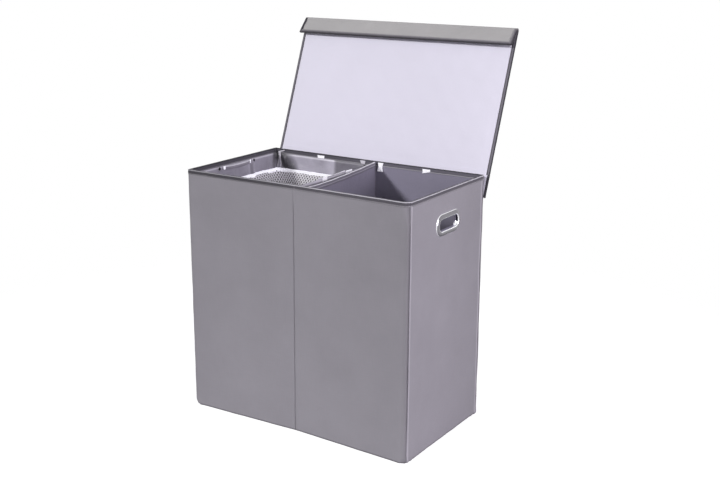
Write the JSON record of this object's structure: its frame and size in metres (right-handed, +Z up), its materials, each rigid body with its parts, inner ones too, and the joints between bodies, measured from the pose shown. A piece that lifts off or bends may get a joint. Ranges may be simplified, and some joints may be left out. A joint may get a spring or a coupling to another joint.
{
  "type": "laundry hamper",
  "caption": "Free-standing fabric laundry hamper: board-stiffened walls, a divider between its bins, a folding lid with a front flap, lift-out bag and base boards, and oval ring handles.",
  "frame": {"origin": "middle of the underside, on the floor", "axes": "+Z up, -Y towards the front where the lid's flap closes, +X to the right seen from the front"},
  "size_m": [0.629, 0.5028, 0.9401],
  "materials": {
    "grey_cloth": "matt woven grey cloth",
    "dark_binding": "folded dark grey binding tape",
    "lining_cloth": "thin grey lining cloth",
    "white_cloth": "white cloth and tape",
    "mesh_cloth": "fine grey mesh cloth",
    "greyboard": "bare greyboard, sewn in out of sight",
    "covered_board": "stiff board covered in grey cloth",
    "chrome": "polished and plated",
    "steel": "plain steel, sewn in out of sight",
    "black_plastic": "black moulded plastic"
  },
  "bodies": {
    "carcass": {"base_cloth": "grey_cloth", "front_cover": "grey_cloth", "back_cover": "grey_cloth", "divider_board": "greyboard", "rim_binding": "dark_binding", "divider_binding": "dark_binding", "back_flap_fixing_strip": "grey_cloth", "left_cover": "grey_cloth", "left_side_board": "greyboard", "front_left_board": "greyboard", "back_left_board": "greyboard", "left_steel_plate": "steel", "left_bin_lining": "lining_cloth", "left_handle_outer_ring": "chrome", "left_handle_inner_ring": "chrome", "left_bin_tab": "white_cloth", "left_bin_divider_corner_tab": "white_cloth", "right_cover": "grey_cloth", "right_side_board": "greyboard", "front_right_board": "greyboard", "back_right_board": "greyboard", "right_steel_plate": "steel", "right_bin_lining": "lining_cloth", "right_handle_outer_ring": "chrome", "right_handle_inner_ring": "chrome", "right_bin_tab": "white_cloth", "right_bin_divider_corner_tab": "white_cloth", "left_bin_wall_corner_tab": "white_cloth"},
    "left_base": {"left_base_board": "covered_board"},
    "right_base": {"right_base_board": "covered_board"},
    "bag": {"bag_body": "mesh_cloth", "bag_cuff": "grey_cloth", "bag_tape": "white_cloth", "wall_grip_front_stud": "black_plastic", "wall_grip_back_stud": "black_plastic", "divider_grip_front_stud": "black_plastic", "divider_grip_back_stud": "black_plastic", "bag_wall_corner_stud": "black_plastic", "bag_divider_corner_stud": "black_plastic"},
    "wall_grip": {"wall_grip": "grey_cloth"},
    "divider_grip": {"divider_grip": "grey_cloth"},
    "back_flap": {"back_flap_board": "greyboard", "back_flap_lining": "grey_cloth", "back_flap_cover": "grey_cloth", "back_flap_left_binding": "dark_binding", "back_flap_right_binding": "dark_binding"},
    "lid": {"lid_board": "greyboard", "lid_lining": "white_cloth", "lid_cover": "grey_cloth", "lid_left_binding": "dark_binding", "lid_right_binding": "dark_binding"},
    "front_flap": {"front_flap_board": "greyboard", "front_flap_lining": "grey_cloth", "front_flap_cover": "grey_cloth", "front_flap_binding": "dark_binding", "left_magnet": "steel", "right_magnet": "steel"}
  },
  "joints": [
    {"name": "lid_fold", "type": "hinge", "parent": "back_flap", "child": "lid", "pos_m": [0, 0.19683, 0.60656], "axis": [-1, 0, 0], "range_deg": [-90, 0]},
    {"name": "back_flap_lean", "type": "hinge", "parent": "carcass", "child": "back_flap", "pos_m": [0, 0.176, 0.552], "axis": [-1, 0, 0], "range_deg": [-20.9, 0]},
    {"name": "front_flap_fold", "type": "hinge", "parent": "lid", "child": "front_flap", "pos_m": [0, 0.32301, 0.93699], "axis": [-1, 0, 0], "range_deg": [0, 69.5]},
    {"name": "left_base_lift", "type": "slide", "parent": "carcass", "child": "left_base", "axis": [0, 0, 1], "range_m": [0, 0.62]},
    {"name": "right_base_lift", "type": "slide", "parent": "carcass", "child": "right_base", "axis": [0, 0, 1], "range_m": [0, 0.62]},
    {"name": "bag_lift", "type": "slide", "parent": "left_base", "child": "bag", "axis": [0, 0, 1], "range_m": [0, 0.62]},
    {"name": "wall_grip_swing", "type": "hinge", "parent": "bag", "child": "wall_grip", "pos_m": [-0.3008, 0, 0.5984], "axis": [0, -1, 0], "range_deg": [0, 90]},
    {"name": "divider_grip_swing", "type": "hinge", "parent": "bag", "child": "divider_grip", "pos_m": [-0.0076, 0, 0.5984], "axis": [0, 1, 0], "range_deg": [0, 90]}
  ],
  "couplings": [
    {"joint": "back_flap_lean", "follows": "lid_fold", "ratio": 0.23222},
    {"joint": "front_flap_fold", "follows": "lid_fold", "ratio": -0.77222}
  ]
}
